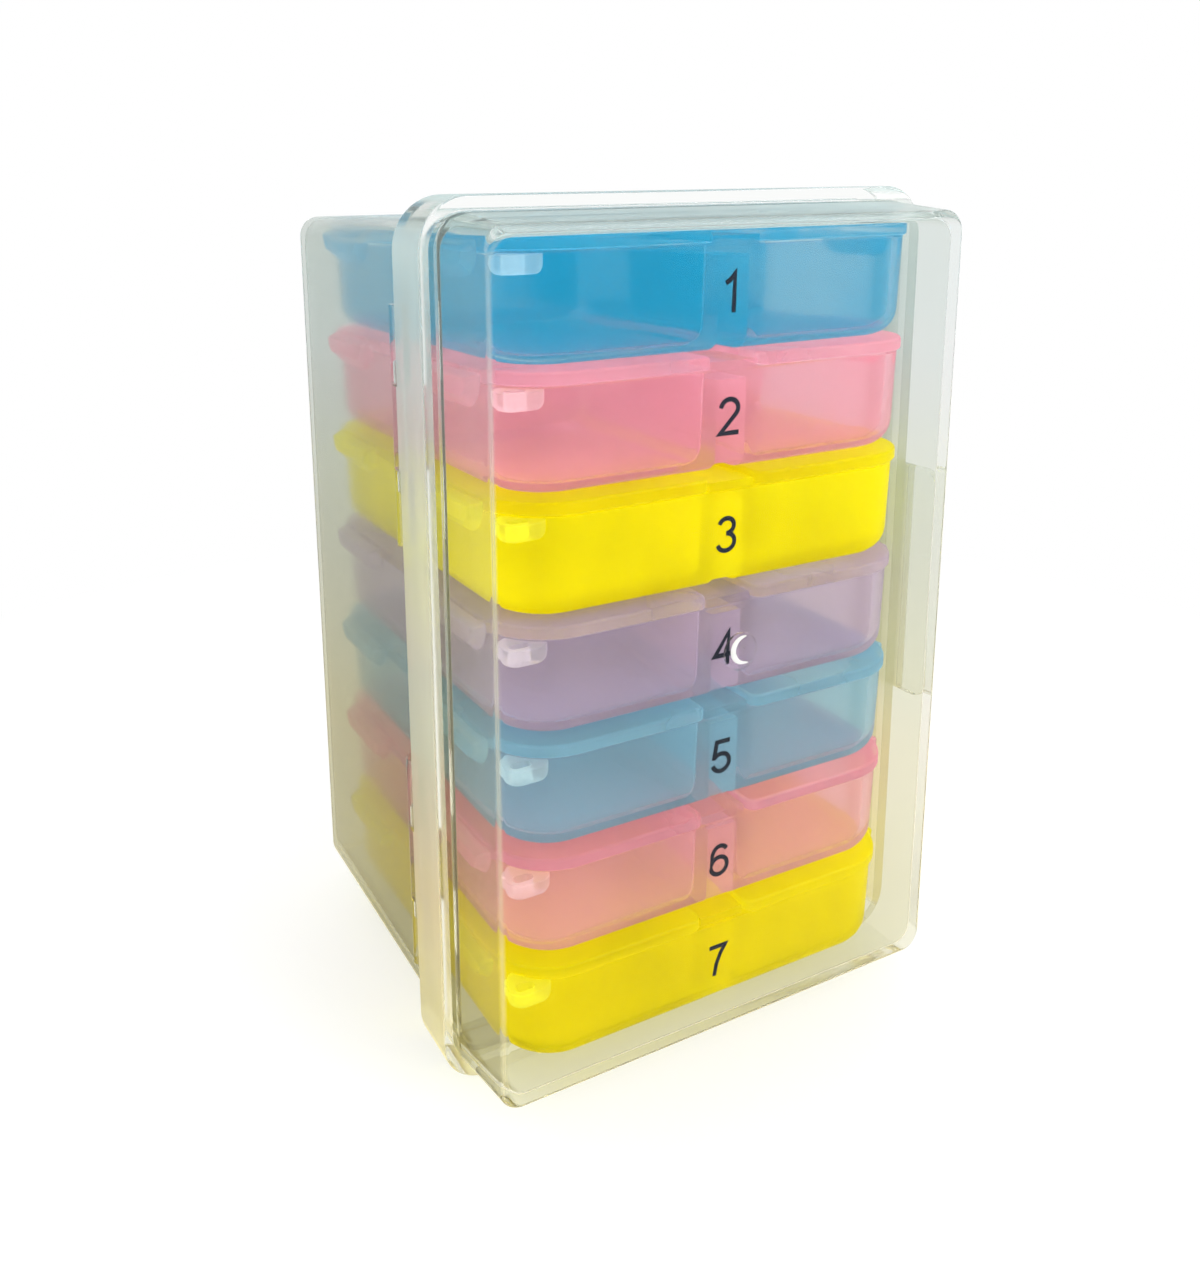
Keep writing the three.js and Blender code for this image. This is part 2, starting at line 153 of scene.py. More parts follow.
def applied(made):
    # puts the result of the object's modifiers in its own mesh
    bpy.context.view_layer.update()
    depsgraph = bpy.context.evaluated_depsgraph_get()
    old = made.data
    made.data = bpy.data.meshes.new_from_object(made.evaluated_get(depsgraph))
    made.modifiers.clear()
    bpy.data.meshes.remove(old)
    return made


def combined(made, operation, shape):
    tool = objectOf("tool", shape)
    modifier = made.modifiers.new("combine", "BOOLEAN")
    modifier.operation = operation
    modifier.solver = "EXACT"
    modifier.object = tool
    applied(made)
    bpy.data.objects.remove(tool)
    return made


def softEdges(made, width, segments, angle):
    modifier = made.modifiers.new("edges", "BEVEL")
    modifier.width = width
    modifier.segments = segments
    modifier.limit_method = "ANGLE"
    modifier.angle_limit = math.radians(angle)
    return applied(made)


def shaded(made):
    mesh = made.data
    for polygon in mesh.polygons:
        polygon.use_smooth = True
    mesh.set_sharp_from_angle(angle=math.radians(smoothAngle))
    modifier = made.modifiers.new("normals", "WEIGHTED_NORMAL")
    modifier.keep_sharp = True
    modifier.weight = flatWeight
    return applied(made)


def finished(made, body, nodes, material=None):
    # from millimetres to metres, onto its body, in the place of its solids
    made.data.transform(Matrix.Scale(mm, 4))
    if material:
        made.data.materials.clear()
        made.data.materials.append(material)
    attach(made, body)
    if nodes:
        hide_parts(*nodes)
    return made


# Camera, at the place that the corners of the case in the photograph give

photoCamera = {
    "place": (-91.4, -147.3, 118.7),
    "yaw": 26.77,
    "pitch": 12.2,
    "roll": -1.01,
    "focalPixels": 1154,
    "centrePixel": (509, 440),
    "imagePixels": (1200, 1275),
    "sensorWidth": 36,
    "clip": (0.01, 20),
}


def makeCamera():
    p = photoCamera
    yaw, tilt, roll = [math.radians(p[name]) for name in ("yaw", "pitch", "roll")]
    flat = math.cos(tilt)
    forward = Vector((math.sin(yaw) * flat, math.cos(yaw) * flat, -math.sin(tilt)))
    level = Vector((math.cos(yaw), -math.sin(yaw), 0))
    upright = level.cross(forward)
    right = math.cos(roll) * level + math.sin(roll) * upright
    up = math.cos(roll) * upright - math.sin(roll) * level
    data = bpy.data.cameras.new("camera")
    camera = bpy.data.objects.new("camera", data)
    scene.collection.objects.link(camera)
    turn = Matrix((right, up, -forward)).transposed()
    camera.matrix_world = Matrix.Translation(Vector(p["place"]) * mm) @ turn.to_4x4()
    wide, tall = p["imagePixels"]
    data.sensor_fit = "HORIZONTAL"
    data.sensor_width = p["sensorWidth"]
    data.lens = p["focalPixels"] / wide * p["sensorWidth"]
    data.shift_x = (wide / 2 - p["centrePixel"][0]) / wide
    data.shift_y = (p["centrePixel"][1] - tall / 2) / wide
    data.clip_start, data.clip_end = p["clip"]
    scene.camera = camera


makeCamera()
print("camera ready")


# Sizes of the case

caseSize = {
    "width": 72,
    "height": 112,
    "wall": 1.2,
    "faceCorner": 3,
    "mouthCorner": 4,
    "frontEdge": 0.9,
    "rearEdge": 1.8,
    "insideFillet": 0.7,
    "coverSpread": 1.1,
    "neckProud": 0.5,
    "neckLip": 0.25,
    "rimFront": 11,
    "rimLength": 8.4,
    "rimProud": 3.2,
    "rimWall": 1.8,
    "rimCorner": 6.6,
    "rimRound": 0.35,
    "rimRoot": 0.25,
    "rimMouth": 0.3,
    "ledge": 1.4,
    "cornerSteps": 12,
    "filletSteps": 6,
}
caseDepth = rearHigh.y - frontY
rimBack = caseSize["rimFront"] + caseSize["rimLength"]
mouthDepth = caseSize["rimFront"] + caseSize["ledge"] + gap


# Materials

class Nodes:
    # a material's node tree, with short ways to add and link nodes
    def __init__(self, name, world=None):
        self.owner = world or bpy.data.materials.new(name)
        self.owner.use_nodes = True
        self.tree = self.owner.node_tree
        self.tree.nodes.clear()

    def add(self, kind, settings=None, **inputs):
        # an input goes by its label with _ for a space, or by its place as i0, i1 and so on
        node = self.tree.nodes.new(kind)
        for name, value in (settings or {}).items():
            setattr(node, name, value)
        for name, value in inputs.items():
            byPlace = name[0] == "i" and name[1:].isdigit()
            socket = node.inputs[int(name[1:]) if byPlace else name.replace("_", " ")]
            if isinstance(value, bpy.types.NodeSocket):
                self.tree.links.new(value, socket)
            else:
                socket.default_value = value
        return node

    def maths(self, operation, first, second=0.0, clamp=False):
        settings = {"operation": operation, "use_clamp": clamp}
        return self.add("ShaderNodeMath", settings, i0=first, i1=second).outputs[0]

    def noise(self, scale, detail, stretch=None):
        place = self.place()
        if stretch:
            place = self.add("ShaderNodeMapping", Vector=place, Scale=stretch).outputs[0]
        return self.add("ShaderNodeTexNoise", Vector=place, Scale=scale, Detail=detail).outputs[0]

    def bump(self, strength, distance, height):
        made = self.add("ShaderNodeBump", Strength=strength, Distance=distance, Height=height)
        return made.outputs[0]

    def mixed(self, share, first, second):
        # two colours
        settings = {"data_type": "RGBA", "blend_type": "MIX"}
        return self.add("ShaderNodeMix", settings, i0=share, i6=first, i7=second).outputs[2]

    def blended(self, share, first, second):
        # two shaders
        return self.add("ShaderNodeMixShader", i0=share, i1=first, i2=second).outputs[0]

    def milk(self, colour, through, **inputs):
        # cloudy plastic: lit from this side and, for its share, from the other
        near = self.add("ShaderNodeBsdfDiffuse", Color=colour, **inputs).outputs[0]
        far = self.add("ShaderNodeBsdfTranslucent", Color=colour, **inputs).outputs[0]
        return self.blended(through, near, far)

    def place(self):
        return self.add("ShaderNodeTexCoord").outputs["Object"]

    def axes(self, vector):
        return self.add("ShaderNodeSeparateXYZ", Vector=vector).outputs

    def height(self):
        # height above the floor in millimetres
        return self.maths("MULTIPLY", self.axes(self.place())["Z"], 1 / mm)

    def spread(self, value, low, high, fromLow=0.35, fromHigh=0.65, curve="LINEAR"):
        # takes a range to another and clamps it; a noise lies mostly between 0.35 and 0.65
        node = self.add("ShaderNodeMapRange", {"interpolation_type": curve}, Value=value)
        for index, number in ((1, fromLow), (2, fromHigh), (3, low), (4, high)):
            node.inputs[index].default_value = number
        return node.outputs[0]

    def finish(self, shader):
        isWorld = isinstance(self.owner, bpy.types.World)
        out = self.tree.nodes.new("ShaderNodeOutputWorld" if isWorld else "ShaderNodeOutputMaterial")
        self.tree.links.new(shader, out.inputs["Surface"])
        return self.owner


# The front is polished clear, the other walls are a little frosted, and the thick rim is milky
caseLook = {
    # cool tints at the top, yellow-lit ones lower down: painted yellow light from the yellow trays,
    # stronger towards the bottom
    "coolClear": (0.96, 0.97, 0.96, 1),
    "yellowLitClear": (0.96, 0.95, 0.87, 1),
    "coolSide": (0.78, 0.82, 0.80, 1),
    "yellowLitSide": (0.80, 0.79, 0.68, 1),
    # the along tints darken walls seen edge-on: painted shade, in place of the darker reflections on them
    "coolAlongShade": (0.54, 0.58, 0.54, 1),
    "yellowLitAlongShade": (0.34, 0.32, 0.17, 1),
    "coolMilk": (0.60, 0.67, 0.65, 1),
    "yellowLitMilk": (0.92, 0.84, 0.58, 1),
    "lamp": (0.95, 0.96, 0.93, 1),
    "paintedLightBetween": (95, 35),
    "alongBetween": (0.42, 0.72),
    "sideBetween": (0.1, 0.6),
    "skimBetween": (0.78, 0.95),
    "frostedBehind": (25, 45),
    "frontMilk": 0.045,
    "rearMilk": 0.075,
    "alongMilk": 0.01,
    "skimMilk": 0.6,
    # milk in a thin band at the rounded edges paints their highlight lines
    "edgeHighlightMilk": 0.28,
    "rimMilk": 0.68,
    "rimFade": 0.3,
    "refraction": 1.11,
    "clearRoughness": 0.03,
    "coverRoughness": 0.05,
    "rearRoughness": 0.18,
    "wave": (45.0, 2.0),  # a noise: scale, detail and stretch
    "waveBump": (0.03, 0.0006),  # strength, distance
    "flow": (28.0, 4.0, (1, 1, 0.35)),
    "flowBetween": (0.8, 1.2),
}

# The thin clasp hardly darkens what stands behind it
claspLook = dict(
    caseLook,
    # the clasp's yellow-lit tints are painted yellow light as well
    coolSide=(0.94, 0.96, 0.94, 1), yellowLitSide=(0.95, 0.95, 0.90, 1),
    coolAlongShade=(0.84, 0.87, 0.84, 1), yellowLitAlongShade=(0.84, 0.84, 0.76, 1),
    frontMilk=0.03, rearMilk=0.03, skimMilk=0.1)


def rimShare(nodes, depth, fade):
    # one on the outside of the thick rim, nought in front of it, behind it and inside it
    start, end = caseSize["rimFront"], rimBack
    middleOfWall = caseSize["rimProud"] - caseSize["rimWall"] / 2
    axes = nodes.axes(nodes.place())
    proud = []
    for axis, middle, size in (("X", middleX, "width"), ("Z", middleZ, "height")):
        away = nodes.maths("ABSOLUTE", nodes.maths("SUBTRACT", axes[axis], middle * mm))
        proud.append(nodes.maths("SUBTRACT", nodes.maths("MULTIPLY", away, 1 / mm), caseSize[size] / 2))
    outside = nodes.spread(nodes.maths("MAXIMUM", *proud), 0, 1, middleOfWall - fade, middleOfWall + fade)
    share = nodes.maths("MULTIPLY", outside, nodes.spread(depth, 0, 1, start - fade, start))
    return nodes.maths("MULTIPLY", share, nodes.spread(depth, 1, 0, end, end + fade))


def clearCaseMaterial(name, look):
    # side is one on the walls and all of the back, and nought on the flat front
    nodes = Nodes(name)
    bump = nodes.bump(*look["waveBump"], nodes.noise(*look["wave"]))
    flow = nodes.spread(nodes.noise(*look["flow"]), *look["flowBetween"])
    # share of painted yellow light from the yellow trays: nought high up, one towards the bottom
    paintedLight = nodes.spread(nodes.height(), 0, 1, *look["paintedLightBetween"])
    facing = nodes.add("ShaderNodeLayerWeight", Blend=0.5).outputs["Facing"]
    along = nodes.spread(facing, 0, 1, *look["alongBetween"], "SMOOTHSTEP")
    normal = nodes.add("ShaderNodeTexCoord").outputs["Normal"]
    forward = nodes.maths("ABSOLUTE", nodes.axes(normal)["Y"])
    depth = nodes.maths("MULTIPLY", nodes.axes(nodes.place())["Y"], 1 / mm)
    depth = nodes.maths("SUBTRACT", depth, frontY)
    side = nodes.spread(nodes.maths("SUBTRACT", 1.0, forward), 0, 1, *look["sideBetween"])
    # edge peaks where the walls round off: the milk there is a painted highlight line
    edge = nodes.maths("MULTIPLY", side, nodes.maths("SUBTRACT", 1.0, side))
    edgeHighlightMilk = 4 * look["edgeHighlightMilk"]  # side times its rest is a quarter at most
    frosted = nodes.spread(depth, 0, 1, *look["frostedBehind"])
    side = nodes.maths("MAXIMUM", side, frosted)
    # walls seen edge-on take the darker along tint: painted shade
    sideTint = nodes.mixed(
        along, nodes.mixed(paintedLight, look["coolSide"], look["yellowLitSide"]),
        nodes.mixed(paintedLight, look["coolAlongShade"], look["yellowLitAlongShade"]))
    tint = nodes.mixed(side, nodes.mixed(paintedLight, look["coolClear"], look["yellowLitClear"]), sideTint)
    milkTint = nodes.mixed(paintedLight, look["coolMilk"], look["yellowLitMilk"])
    haze = nodes.maths("MULTIPLY", along, look["alongMilk"])
    milk = nodes.spread(depth, look["frontMilk"], look["rearMilk"], *look["frostedBehind"])
    haze = nodes.maths("ADD", haze, milk)
    rim = rimShare(nodes, depth, look["rimFade"])
    haze = nodes.maths("ADD", haze, nodes.maths("MULTIPLY", rim, look["rimMilk"]))
    haze = nodes.maths("MULTIPLY", haze, side)
    haze = nodes.maths("ADD", haze, nodes.maths("MULTIPLY", edge, edgeHighlightMilk))
    skim = nodes.spread(facing, 0, 1, *look["skimBetween"])
    haze = nodes.maths("ADD", haze, nodes.maths("MULTIPLY", skim, look["skimMilk"]))
    haze = nodes.maths("MULTIPLY", haze, flow, clamp=True)
    rough = nodes.spread(depth, look["coverRoughness"], look["rearRoughness"], *look["frostedBehind"])
    rough = nodes.maths("ADD", nodes.maths("MULTIPLY", rough, side), look["clearRoughness"])
    glass = nodes.add(
        "ShaderNodeBsdfPrincipled", Base_Color=tint, Roughness=rough,
        IOR=look["refraction"], Transmission_Weight=1.0, Normal=bump).outputs[0]
    body = nodes.blended(haze, glass, nodes.milk(milkTint, 0.5))
    path = nodes.add("ShaderNodeLightPath")
    lampRay = nodes.maths("MAXIMUM", path.outputs["Is Shadow Ray"], path.outputs["Is Diffuse Ray"])
    clear = nodes.add("ShaderNodeBsdfTransparent", Color=look["lamp"]).outputs[0]
    return nodes.finish(nodes.blended(lampRay, body, clear))


# All tray plastics share their cloudiness, gloss and grain; the lids and the thin tabs are cloudier
trayFinish = {
    "cloud": 0.27,
    "lidCloud": 0.36,
    "tabCloud": 0.4,
    "cloudSpread": 0.15,
    "thumbPale": 0.25,
    "roughness": 0.225,
    "roughnessSpread": 0.07,
    "refraction": 1.12,
    # heights over which the painted light from below comes in
    "paintedLightBetween": (55, 10),
    "flow": (60.0, 3.0, (1, 1, 0.5)),
    "swell": (70.0, 2.0),
    "swellBump": (0.04, 0.0004),
    "grain": (110.0, 2.0),
}


def varied(nodes, noise, value, share):
    # a value that a noise takes up and down by a share of it
    return nodes.spread(nodes.noise(*noise), value * (1 - share), value * (1 + share))


def trayMaterial(name, look):
    f = trayFinish
    nodes = Nodes(name)
    cloud = varied(nodes, f["flow"], look["cloud"], f["cloudSpread"])
    bump = nodes.bump(*f["swellBump"], nodes.noise(*f["swell"]))
    rough = varied(nodes, f["grain"], f["roughness"], f["roughnessSpread"])
    tint, bodyTint = look["through"], look["body"]
    # painted light from below: the lit-from-below colours take over towards the bottom
    if look["litFromBelowBody"] != look["body"]:  # otherwise one colour at every height
        paintedLight = nodes.spread(nodes.height(), 0, 1, *f["paintedLightBetween"])
        tint = nodes.mixed(paintedLight, look["through"], look["litFromBelowThrough"])
        bodyTint = nodes.mixed(paintedLight, look["body"], look["litFromBelowBody"])
    glass = nodes.add(
        "ShaderNodeBsdfPrincipled", Base_Color=tint, Roughness=rough, IOR=f["refraction"],
        Transmission_Weight=1.0, Normal=bump).outputs[0]
    body = nodes.blended(cloud, glass, nodes.milk(bodyTint, 0.5, Normal=bump))
    path = nodes.add("ShaderNodeLightPath")
    clear = nodes.add("ShaderNodeBsdfTransparent", Color=look["lamp"]).outputs[0]
    return nodes.finish(nodes.blended(path.outputs["Is Shadow Ray"], body, clear))


def trayLook(through, body, litFromBelowThrough=None, litFromBelowBody=None, cloud=None, pale=(0.42, 0.42, 0.42)):
    # the lower trays of most colours take on painted yellow light from the yellow trays below, and the
    # yellow trays darken a little towards the bottom; lamp light is tinted half as much
    lamp = tuple(channel ** 0.5 for channel in through)
    return {
        "through": (*through, 1), "body": (*body, 1), "lamp": (*lamp, 1),
        "litFromBelowThrough": (*(litFromBelowThrough or through), 1), "litFromBelowBody": (*(litFromBelowBody or body), 1),
        "cloud": cloud or trayFinish["cloud"], "pale": (*pale, 0)}


def paler(look, strength=1):
    # the thin tabs let more light through
    made = dict(look, cloud=trayFinish["tabCloud"])
    for name in ("through", "body", "litFromBelowThrough", "litFromBelowBody"):
        made[name] = tuple(
            channel + (1 - channel) * share * strength
            for channel, share in zip(look[name], look["pale"]))
    return made


def lidLook(look):
    # the lids get none of the painted light from below and keep their colour at every height
    return dict(look, cloud=trayFinish["lidCloud"], litFromBelowThrough=look["through"], litFromBelowBody=look["body"])


def thumbLook(look):
    return paler(lidLook(look), trayFinish["thumbPale"])


trayLooks = {
    # where a colour has a second pair, it is its colour in the painted light from below
    "tray_blue": trayLook((0.925, 0.955, 0.945), (0.01, 0.40, 0.67), cloud=0.28),
    "tray_pink": trayLook(
        (0.98, 0.90, 0.93), (0.98, 0.43, 0.55), (0.975, 0.925, 0.95), (0.95, 0.54, 0.60)),
    "tray_yellow": trayLook(
        (0.99, 0.965, 0.003), (0.98, 0.90, 0.0), (0.98, 0.95, 0.003), (0.91, 0.80, 0.0),
        cloud=0.45, pale=(1, 1, 0.12)),
    "tray_lilac": trayLook((0.94, 0.89, 0.95), (0.66, 0.54, 0.74)),
    "tray_teal": trayLook(
        (0.86, 0.93, 0.965), (0.33, 0.61, 0.79), (0.88, 0.925, 0.955), (0.43, 0.63, 0.81)),
}
dayColours = ["blue", "pink", "yellow", "lilac", "teal", "pink", "yellow"]


def trayPlastics(kind, change=dict):
    # one plastic for each colour: of a tray, or changed for a lid or a tab
    made = {}
    for slot, look in trayLooks.items():
        name = kind + slot.replace("tray_", "").title()
        made[slot] = trayMaterial(name, change(look))
    return made


# Dark matt ink, and the milky white of a torn gate
markLook = {
    "ink": (0.010, 0.014, 0.026, 1),
    "inkGrain": (400.0, 2.0),
    "inkRoughness": (0.55, 0.7),
    "inkRefraction": 1.45,
    "inkShine": 0.15,
    "gateGrain": (500.0, 2.0),
    "gateTones": ((0.80, 0.82, 0.80, 1), (0.95, 0.95, 0.93, 1)),
    "gateThrough": 0.35,
}


def inkMaterial():
    nodes = Nodes("numeralInk")
    rough = nodes.spread(nodes.noise(*markLook["inkGrain"]), *markLook["inkRoughness"])
    shine = nodes.add(
        "ShaderNodeBsdfPrincipled", Base_Color=markLook["ink"], Roughness=rough,
        IOR=markLook["inkRefraction"], Specular_IOR_Level=markLook["inkShine"])
    return nodes.finish(shine.outputs[0])


def gateMilkMaterial():
    nodes = Nodes("gateMilk")
    tone = nodes.mixed(nodes.noise(*markLook["gateGrain"]), *markLook["gateTones"])
    return nodes.finish(nodes.milk(tone, markLook["gateThrough"]))


clearCase = clearCaseMaterial("clearCase", caseLook)
clearClasp = clearCaseMaterial("clearClasp", claspLook)
gateMilk = gateMilkMaterial()
trayPlastic = trayPlastics("tray")
lidPlastic = trayPlastics("lid", lidLook)
ringPlastic = trayPlastics("ring", paler)
# the thumb plastic also paints a highlight line on the lids' lower plate edge
thumbAndHighlightEdgePlastic = trayPlastics("thumb", thumbLook)
ink = inkMaterial()
print("materials ready")


# Case shells: rings of depth behind the front face, how far they stand proud, and corner radius

def caseShell(profile):
    c = caseSize
    rings = []
    for depth, proud, radius in profile:
        wide, tall = c["width"] / 2 + proud, c["height"] / 2 + proud
        outline = roundedRect(-wide, wide, -tall, tall, [radius] * 4, c["cornerSteps"])
        rings.append((outline, depth))
    return loft(rings, lambda u, v, depth: (middleX + u, frontY + depth, middleZ + v))


def coverProfile():
    c = caseSize
    steps = quarter(c["filletSteps"])
    few = quarter(c["filletSteps"] // 2)
    flare = (c["rimCorner"] - c["mouthCorner"]) / (c["rimProud"] - c["coverSpread"])
    inner = c["coverSpread"] - c["wall"]
    skirt = c["rimProud"] - c["rimWall"]
    ledgeBack = c["rimFront"] + c["ledge"]
    frontStart = c["wall"] + c["insideFillet"]
    frontProud = c["coverSpread"] * frontStart / c["rimFront"] - c["wall"]
    edge, root, rimRound, lip = c["frontEdge"], c["rimRoot"], c["rimRound"], c["rimMouth"]
    profile = [
        (edge * along, -edge * inward, c["faceCorner"] - edge * inward / 2)
        for inward, along in steps]
    profile += [
        (c["rimFront"] - root * inward, c["coverSpread"] + root * along,
         c["mouthCorner"] + root * along * flare)
        for inward, along in few]
    profile += [
        (c["rimFront"] + rimRound * along, c["rimProud"] - rimRound * inward,
         c["rimCorner"] - rimRound * inward)
        for inward, along in steps]
    profile += [
        (rimBack - lip * inward, c["rimProud"] - lip * along, c["rimCorner"] - lip * along)
        for inward, along in few]
    profile += [
        (rimBack - lip * along, skirt + lip * inward, c["rimCorner"] - c["rimWall"] + lip * inward)
        for inward, along in few]
    profile += [(ledgeBack, skirt, c["rimCorner"] - c["rimWall"])]
    profile += [
        (ledgeBack - lip * along, inner + lip * inward, c["mouthCorner"] - c["wall"] + lip * inward)
        for inward, along in few]
    profile += [
        (c["wall"] + c["insideFillet"] * inward, frontProud - c["insideFillet"] * along,
         c["faceCorner"] - c["insideFillet"] * along)
        for inward, along in few]
    return profile


def rearProfile():
    c = caseSize
    steps = quarter(c["filletSteps"])
    few = quarter(c["filletSteps"] // 2)
    edge, lip, fillet = c["rearEdge"], c["neckLip"], c["insideFillet"]
    inner = c["neckProud"] - c["wall"]
    rearInside = caseDepth - c["wall"]
    rearProud = c["neckProud"] * c["wall"] / (caseDepth - mouthDepth) - c["wall"]
    profile = [
        (caseDepth - edge * along, -edge * inward, c["faceCorner"] - edge * inward / 2)
        for inward, along in steps]
    profile += [
        (mouthDepth + lip * inward, c["neckProud"] - lip * along, c["mouthCorner"] - lip * along)
        for inward, along in few]
    profile += [
        (mouthDepth + lip * along, inner + lip * inward, c["mouthCorner"] - c["wall"] + lip * inward)
        for inward, along in few]
    profile += [
        (rearInside - fillet * inward, rearProud - fillet * along, c["faceCorner"] - fillet * along)
        for inward, along in few]
    return profile


# Cover hinge on the left: knuckles on the cover, lugs on the rear case

hingeSize = {
    "setLength": 31,
    "setSpacing": 61,
    "barrel": 1.2,
    "knuckleLength": 10.8,
    "pinRadius": 0.55,
    "pinLength": 2.4,
    "pinGap": 0.25,
    "sides": 28,
}
hingeX = middleX - caseSize["width"] / 2 - caseSize["neckProud"] - gap - hingeSize["barrel"]
hingeY = frontY + rimBack + gap + hingeSize["barrel"]
hingeLevels = [middleZ + end * hingeSize["setSpacing"] / 2 for end in (-1, 1)]


def pinnedBarrel(made, size, length, place):
    # a barrel along z with a pin out of each end
    span = length + 2 * (gap + size["pinLength"])
    combined(made, "UNION", bar(size["barrel"], length, size["sides"], "z", place))
    combined(made, "UNION", bar(size["pinRadius"], span, size["sides"] // 2, "z", place))


def pinSockets(made, size, length, place):
    # the holes for those pins
    span = length + 2 * (gap + size["pinLength"] + gap)
    socket = bar(size["pinRadius"] + size["pinGap"], span, size["sides"] // 2, "z", place)
    combined(made, "DIFFERENCE", socket)


def coverKnuckles(cover):
    h = hingeSize
    half = h["knuckleLength"] / 2
    skirtInside = middleX - (caseSize["width"] / 2 + caseSize["rimProud"] - caseSize["rimWall"])
    webStart = frontY + rimBack - caseSize["rimRound"]
    for level in hingeLevels:
        web = box((hingeX - h["barrel"], webStart, level - half), (skirtInside, hingeY, level + half))
        combined(cover, "UNION", web)
        pinnedBarrel(cover, h, h["knuckleLength"], (hingeX, hingeY, level))


def rearLugs(rear):
    h = hingeSize
    length = (h["setLength"] - h["knuckleLength"]) / 2 - gap
    for level in hingeLevels:
        for end in (-1, 1):
            middle = level + end * (h["knuckleLength"] / 2 + gap + length / 2)
            foot = box(
                (hingeX, hingeY - h["barrel"], middle - length / 2),
                (middleX - caseSize["width"] / 2, hingeY + h["barrel"], middle + length / 2))
            combined(rear, "UNION", foot)
            combined(rear, "UNION", bar(h["barrel"], length, h["sides"], "z", (hingeX, hingeY, middle)))
        pinSockets(rear, h, h["knuckleLength"], (hingeX, hingeY, level))


# Clasp on the right

claspSize = {
    "length": 36,
    "thickness": 1.5,
    "front": 5,
    "corner": 3.5,
    "setback": 1.6,
    "barrel": 1.1,
    "lug": 3.6,
    "pinRadius": 0.5,
    "pinLength": 2,
    "pinGap": 0.25,
    "edge": 0.375,
    "edgeSteps": 4,
    "cornerSteps": 8,
    "leastCorner": 0.425,
    "sides": 28,
}
claspInside = middleX + caseSize["width"] / 2 + caseSize["rimProud"] + gap
claspX = claspInside + claspSize["thickness"] - claspSize["barrel"]
claspY = frontY + rimBack + claspSize["setback"] + claspSize["barrel"]
claspBarrelLength = claspSize["length"] - 2 * (claspSize["lug"] + gap)


def claspLugs(rear):
    c = claspSize
    for end in (-1, 1):
        middle = middleZ + end * (c["length"] - c["lug"]) / 2
        arm = box(
            (middleX + caseSize["width"] / 2, claspY - c["barrel"], middle - c["lug"] / 2),
            (claspX, claspY + c["barrel"], middle + c["lug"] / 2))
        combined(rear, "UNION", arm)
        combined(rear, "UNION", bar(c["barrel"], c["lug"], c["sides"], "z", (claspX, claspY, middle)))
    pinSockets(rear, c, claspBarrelLength, (claspX, claspY, middleZ))


def claspPiece():
    c = claspSize
    outside = claspX + c["barrel"]
    inside = outside - c["thickness"]
    back = claspY - c["barrel"] - gap
    small = c["leastCorner"]
    outline = (
        frontY + c["front"], back, middleZ - c["length"] / 2, middleZ + c["length"] / 2,
        [small, small, c["corner"], c["corner"]], c["cornerSteps"])
    edge = [
        (inset(outline, c["edge"] * along), c["edge"] * inward)
        for inward, along in quarter(c["edgeSteps"])]
    rings = [(points, inside + inward) for points, inward in edge][::-1]
    rings += [(points, outside - inward) for points, inward in edge]
    clasp = objectOf("side_clasp_piece", loft(rings, lambda u, v, level: (level, u, v)))
    half = claspBarrelLength / 2
    web = box((claspX, claspY - 2 * c["barrel"], middleZ - half), (outside, claspY, middleZ + half))
    combined(clasp, "UNION", web)
    pinnedBarrel(clasp, c, claspBarrelLength, (claspX, claspY, middleZ))
    return shaded(clasp)


# Gate mark in the middle of the front face

gateSize = {
    "radius": 2.6,
    "depth": 0.35,
    "nub": 0.7,
    "nubHeight": 0.25,
    "sides": 40,
    "crescentRadius": 2.0,
    "crescentWidth": 0.85,
    "crescentHeight": 0.2,
    "crescentShift": 0.6,
    "crescentSweep": 215,
    "crescentTurn": 185,
    "crescentTip": 0.02,
    "crescentSwell": 0.7,
    "crescentSlope": 0.2,
}


def gateMark(cover):
    # a shallow round recess with a nub in its middle
    g = gateSize
    place = (middleX, frontY, middleZ)
    combined(cover, "DIFFERENCE", bar(g["radius"], 2 * g["depth"], g["sides"], "y", place))
    place = (middleX, frontY + g["depth"], middleZ)
    combined(cover, "UNION", bar(g["nub"], 2 * g["nubHeight"], g["sides"] // 2, "y", place))


def gateCrescent():
    # the torn gate: a pale crescent that lies in the recess, thick at lower left
    g = gateSize
    centreX = middleX + g["crescentShift"]
    bottom = frontY + g["depth"]
    top = bottom - g["crescentHeight"]
    outside = g["crescentRadius"]
    shape = bmesh.new()
    rows = []
    for step in range(g["sides"] + 1):
        share = step / g["sides"]
        angle = math.radians(g["crescentTurn"]) + (share - 0.5) * math.radians(g["crescentSweep"])
        width = g["crescentWidth"] * math.sin(math.pi * share) ** g["crescentSwell"] + g["crescentTip"]
        inside, slope = outside - width, width * g["crescentSlope"]
        section = ((outside, bottom), (outside - slope, top), (inside + slope, top), (inside, bottom))
        rows.append([
            shape.verts.new((centreX + radius * math.cos(angle), y, middleZ + radius * math.sin(angle)))
            for radius, y in section])
    skin(shape, rows)
    bmesh.ops.recalc_face_normals(shape, faces=shape.faces)
    return objectOf("gate_crescent", shape)


cover = objectOf("front_cover_piece", caseShell(coverProfile()))
gateMark(cover)
coverKnuckles(cover)
finished(shaded(cover), "front_cover", ["front_cover"], clearCase)
finished(shaded(gateCrescent()), "front_cover", [], gateMilk)

rear = objectOf("rear_case_piece", caseShell(rearProfile()))
rearLugs(rear)
claspLugs(rear)
finished(shaded(rear), "rear_case", ["rear_case"], clearCase)
finished(claspPiece(), "side_clasp", ["side_clasp"], clearClasp)
print("case ready")


# Trays and lids, drawn round a middle under the tray's floor

